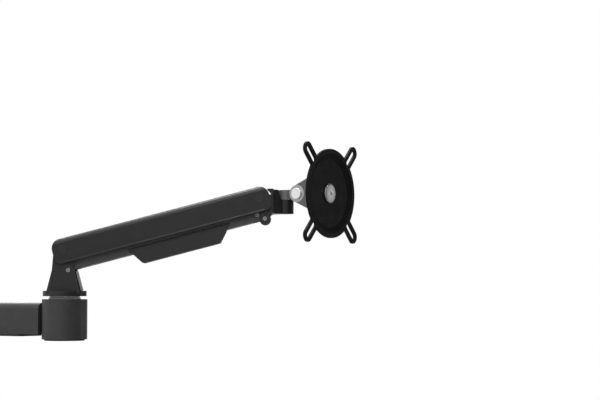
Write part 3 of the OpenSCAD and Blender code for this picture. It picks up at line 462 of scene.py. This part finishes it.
def make_materials():
    """The material of each slot, and link_bright for the nodes named by BRIGHT_ENDS."""
    tilt_bolt, pins = middle("tilt_bolt"), middle("front_link_pins")
    return {
        "base_pad": ribbed_rubber("rubber_base", (0.018, 0.018, 0.019), 4),
        "rubber": ribbed_rubber("rubber_face", (0.016, 0.016, 0.017), 3),
        "base_casting": powder_coat("base_coat", (0.020, 0.020, 0.021)),
        "clamp_steel": powder_coat("clamp_coat", (0.019, 0.019, 0.020), 0.38),
        "arm_casting": powder_coat("arm_coat", (0.020, 0.020, 0.021)),
        "shell_paint": powder_coat("shell_coat", (0.009, 0.009, 0.0095), specular=0.4),
        # The link's black coat is lighter than the shell's as painted light: it brightens the link's
        # strip, which lies in the shell's shade
        "link_paint": powder_coat("link_coat_painted_light", (0.034, 0.034, 0.0345)),
        "bracket_casting": powder_coat("bracket_coat", (0.010, 0.010, 0.0105), 0.4, 0.02, 0.4),
        "head_casting": head_paint("head_coat", (0.10, 0.10, 0.102), (0.42, 0.42, 0.43)),
        "plate_paint": powder_coat("plate_coat", (0.004, 0.004, 0.0045), 0.5, specular=0.12),
        "cover_plastic": moulded_plastic("cover_black", (0.006, 0.006, 0.0065)),
        "knob_plastic": moulded_plastic("knob_black", (0.012, 0.012, 0.0125), 0.46),
        "fastener_steel": plated_steel("zinc_steel", (0.60, 0.60, 0.61)),
        "black_screws": plated_steel("black_oxide", (0.05, 0.05, 0.052), 0.36),
        "bright_caps": turned_metal("bright_caps", (0.86, 0.86, 0.87), tilt_bolt, (1, 0, 0), 0.3),
        "link_bright": turned_metal("bright_pins", (0.34, 0.34, 0.345), pins, BRIGHT_LINES, 0.34),
        "centre_silver": brushed_round("centre_silver", (0.8, 0.8, 0.81), 0.4),
        "cylinder_paint": powder_coat("cylinder_black", (0.010, 0.010, 0.011), 0.22, 0.006),
        "rod_chrome": plated_steel("rod_chrome", (0.74, 0.74, 0.76), 0.1),
        "nylon": moulded_plastic("nylon_natural", (0.68, 0.66, 0.60), 0.4),
        "nut_bronze": plated_steel("bronze", (0.55, 0.36, 0.17), 0.34),
    }


# ---------- dressed CAD nodes ----------

def soften(thing, width, least_angle):
    """Rounds a CAD node's edges: weld, join flat faces, bevel, and weight the normals."""
    mesh = thing.data
    for name in ("custom_normal", "sharp_edge", "sharp_face"):
        if name in mesh.attributes:
            mesh.attributes.remove(mesh.attributes[name])
    mesh.shade_smooth()
    weld = thing.modifiers.new("weld", "WELD")
    weld.merge_threshold = WELD_GAP * MM
    flat = thing.modifiers.new("flat", "DECIMATE")
    flat.decimate_type = "DISSOLVE"
    flat.angle_limit = math.radians(FLAT_ANGLE)
    bevel = thing.modifiers.new("edge", "BEVEL")
    bevel.width, bevel.segments = width * MM, EDGE_SEGMENTS
    bevel.limit_method, bevel.angle_limit = "ANGLE", math.radians(least_angle)
    bevel.miter_outer = "MITER_ARC"
    normals = thing.modifiers.new("normals", "WEIGHTED_NORMAL")
    normals.keep_sharp = True
    normals.weight = FACE_WEIGHT


def dress_nodes(materials):
    """Gives every CAD node its material and its rounded edges."""
    slots = {part["node"]: part["material_slot"] for part in frame["record"]["subparts"]}
    for name, thing in nodes.items():
        slot = "link_bright" if name.endswith(BRIGHT_ENDS) else slots[name]
        thing.data.materials.clear()
        thing.data.materials.append(materials[slot])
        soften(thing, EDGES.get(name, DEFAULT_EDGE), LEAST_ANGLES.get(name, DEFAULT_ANGLE))


# ---------- finer pieces ----------

def add_piece(name, form, body, material, stands_for=()):
    mesh = bpy.data.meshes.new(name)
    bmesh.ops.remove_doubles(form, verts=form.verts, dist=JOIN_GAP * MM)
    bmesh.ops.recalc_face_normals(form, faces=form.faces)
    form.to_mesh(mesh)
    form.free()
    mesh.materials.append(material)
    mesh.shade_smooth()
    mesh.set_sharp_from_angle(angle=math.radians(SHARP_ANGLE))
    piece = bpy.data.objects.new(name, mesh)
    show(piece)
    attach(piece, body)
    if stands_for:
        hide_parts(*stands_for)


def turned(form, profile, place, sides=96):
    """Adds a solid of revolution: profile is (radius, height) in metres about place's own Z."""
    rings = []
    for radius, height in profile:
        angles = [math.tau * i / sides for i in range(sides if radius else 1)]
        rings.append([form.verts.new(place @ Vector(
            (radius * math.cos(angle), radius * math.sin(angle), height))) for angle in angles])
    for one, two in zip(rings, rings[1:]):
        for i in range(sides):
            corners = []
            for vert in (one[i % len(one)], one[(i + 1) % len(one)],
                         two[(i + 1) % len(two)], two[i % len(two)]):
                if vert not in corners:
                    corners.append(vert)
            if len(corners) > 2:
                form.faces.new(corners)


def threaded(form, centre, low, high, crest):
    """Adds a rod with one trapezoid thread wound up it; its two ends are left open."""
    root, pitch = crest - THREAD_DEPTH * MM, THREAD_PITCH * MM
    steps = int((high - low) / pitch * THREAD_STEPS)
    grid = []
    for k in range(-THREAD_STEPS, steps + THREAD_STEPS + 1):
        angle = math.tau * k / THREAD_STEPS
        row = []
        for part, rise in THREAD_OUTLINE:
            radius = root + rise * THREAD_DEPTH * MM
            height = min(high, max(low, low + pitch * (k / THREAD_STEPS + part)))
            row.append(form.verts.new((
                centre.x + radius * math.cos(angle), centre.y + radius * math.sin(angle), height)))
        grid.append(row)
    for k in range(len(grid) - THREAD_STEPS - 1):
        # The last strip joins each turn to the start of the next one
        this = grid[k] + [grid[k + THREAD_STEPS][0]]
        after = grid[k + 1] + [grid[k + 1 + THREAD_STEPS][0]]
        for j in range(len(THREAD_OUTLINE)):
            form.faces.new((this[j], after[j], after[j + 1], this[j + 1]))


def upright(centre):
    """Place whose Z is the vertical through centre, with heights from the frame's own zero."""
    return Matrix.Translation((centre.x, centre.y, 0))


def make_centre_bolt(material):
    """The plate's bolt: a domed head with a shallow dimple, and its plain shank behind."""
    low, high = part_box("centre_bolt")
    centre = middle("centre_bolt")
    radius, end = (high.x - low.x) / 2, low.y - high.y
    seat, dome, dimple = -BOLT_HEAD * MM, BOLT_DOME * MM, BOLT_DIMPLE * MM
    shank, edge = BOLT_SHANK * MM, BOLT_EDGE * MM
    profile = [(part * dimple, -depth * MM) for part, depth in DIMPLE_OUTLINE]
    for i in range(DOME_STEPS + 1):
        out = dimple + (radius - dimple - edge) * i / DOME_STEPS
        profile.append((out, -dome * (out / radius) ** 2))
    profile += [(radius - 0.3 * edge, -dome - 0.3 * edge), (radius, -dome - edge), (radius, seat),
                (shank, seat), (shank, end + edge), (shank - edge, end), (0, end)]
    forward = Matrix.Rotation(math.pi / 2, 4, "X")
    form = bmesh.new()
    turned(form, profile, Matrix.Translation((centre.x, low.y, centre.z)) @ forward)
    add_piece("centre_bolt_domed", form, "tilt_bracket", material, ("centre_bolt",))


def make_clamp_screw(material):
    """The clamp's screw with its coarse thread, a plain neck and the spigot in the pad."""
    low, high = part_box("clamp_screw")
    centre = middle("clamp_screw")
    crest = (high.x - low.x) / 2
    root, core = crest - THREAD_DEPTH * MM, CORE_LENGTH * MM
    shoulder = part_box("clamp_pad")[0].z
    neck_low = shoulder - NECK_LENGTH * MM
    neck, neck_edge = crest - NECK_STEP * MM, NECK_EDGE * MM
    spigot, spigot_edge = SPIGOT_RADIUS * MM, SPIGOT_EDGE * MM
    form = bmesh.new()
    threaded(form, centre, low.z, neck_low, crest)
    turned(form, [
        (0, neck_low - core), (root, neck_low - core), (root, neck_low),
        (neck, neck_low + NECK_RISE * MM), (neck, shoulder - neck_edge), (neck - neck_edge, shoulder),
        (spigot, shoulder), (spigot, high.z - spigot_edge), (spigot - spigot_edge, high.z), (0, high.z),
    ], upright(centre), SCREW_SIDES)
    foot = [(0, low.z), (root, low.z), (root, low.z + core), (0, low.z + core)]
    turned(form, foot, upright(centre), SCREW_SIDES)
    add_piece("clamp_screw_threaded", form, "clamp_screw", material, ("clamp_screw",))


def make_hub_cap(material):
    """The post's cap: a low dome with a shallow ring pressed in, over the CAD cap's skirt."""
    low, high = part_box("hub_cap")
    edge, top = (high.x - low.x) / 2, high.z
    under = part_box("lower_arm")[1].z + CAP_LIFT * MM
    profile = [(part * edge, top - drop * MM) for part, drop in CAP_CROWN]
    profile += [(GROOVE_AT * edge + out * MM, top - drop * MM) for out, drop in GROOVE_OUTLINE]
    for i in range(RIM_STEPS + 1):
        angle = math.pi / 2 * i / RIM_STEPS
        profile.append((edge - RIM_WIDTH * MM * (1 - math.sin(angle)),
                        top - RIM_DROP * MM + RIM_HEIGHT * MM * math.cos(angle)))
    profile += [(edge, under), (0, under)]
    form = bmesh.new()
    turned(form, profile, upright(middle("hub_cap")))
    add_piece("hub_cap_domed", form, "lower_arm", material, ("hub_cap",))


def make_shell_lips(material):
    """A narrow rolled lip along each lower edge of the arm's shell, thinner at its two ends."""
    rear = middle("rear_lift_pins")
    arm = middle("front_lift_pins") - rear
    along = arm.normalized()
    across = Vector((-along.y, along.x, 0)).normalized()
    up = along.cross(across)
    first, last = -SHELL_END * MM, arm.length + SHELL_END * MM
    taper = LIP_TAPER * MM
    stations = ((first, LIP_END), (first + taper, 1), (last - taper, 1), (last, LIP_END))
    for side, name in ((1, "shell_lip_left"), (-1, "shell_lip_right")):
        form = bmesh.new()
        rows = []
        for place, swell in stations:
            start = rear + along * place
            rows.append([form.verts.new(
                start + across * side * (SHELL_HALF + out * swell) * MM + up * (rise - SHELL_BELOW) * MM)
                for out, rise in LIP_SECTION])
        for one, two in zip(rows, rows[1:]):
            for j in range(len(LIP_SECTION)):
                k = (j + 1) % len(LIP_SECTION)
                form.faces.new((one[j], one[k], two[k], two[j]))
        form.faces.new(rows[0])
        form.faces.new(rows[-1])
        add_piece(name, form, "spring_arm", material)


make_camera()
make_world()
make_floor()
make_lamps()
materials = make_materials()
dress_nodes(materials)
make_centre_bolt(materials["centre_silver"])
make_clamp_screw(materials["fastener_steel"])
make_hub_cap(materials["cover_plastic"])
make_shell_lips(materials["shell_paint"])
bpy.context.scene.view_settings.view_transform = "Standard"
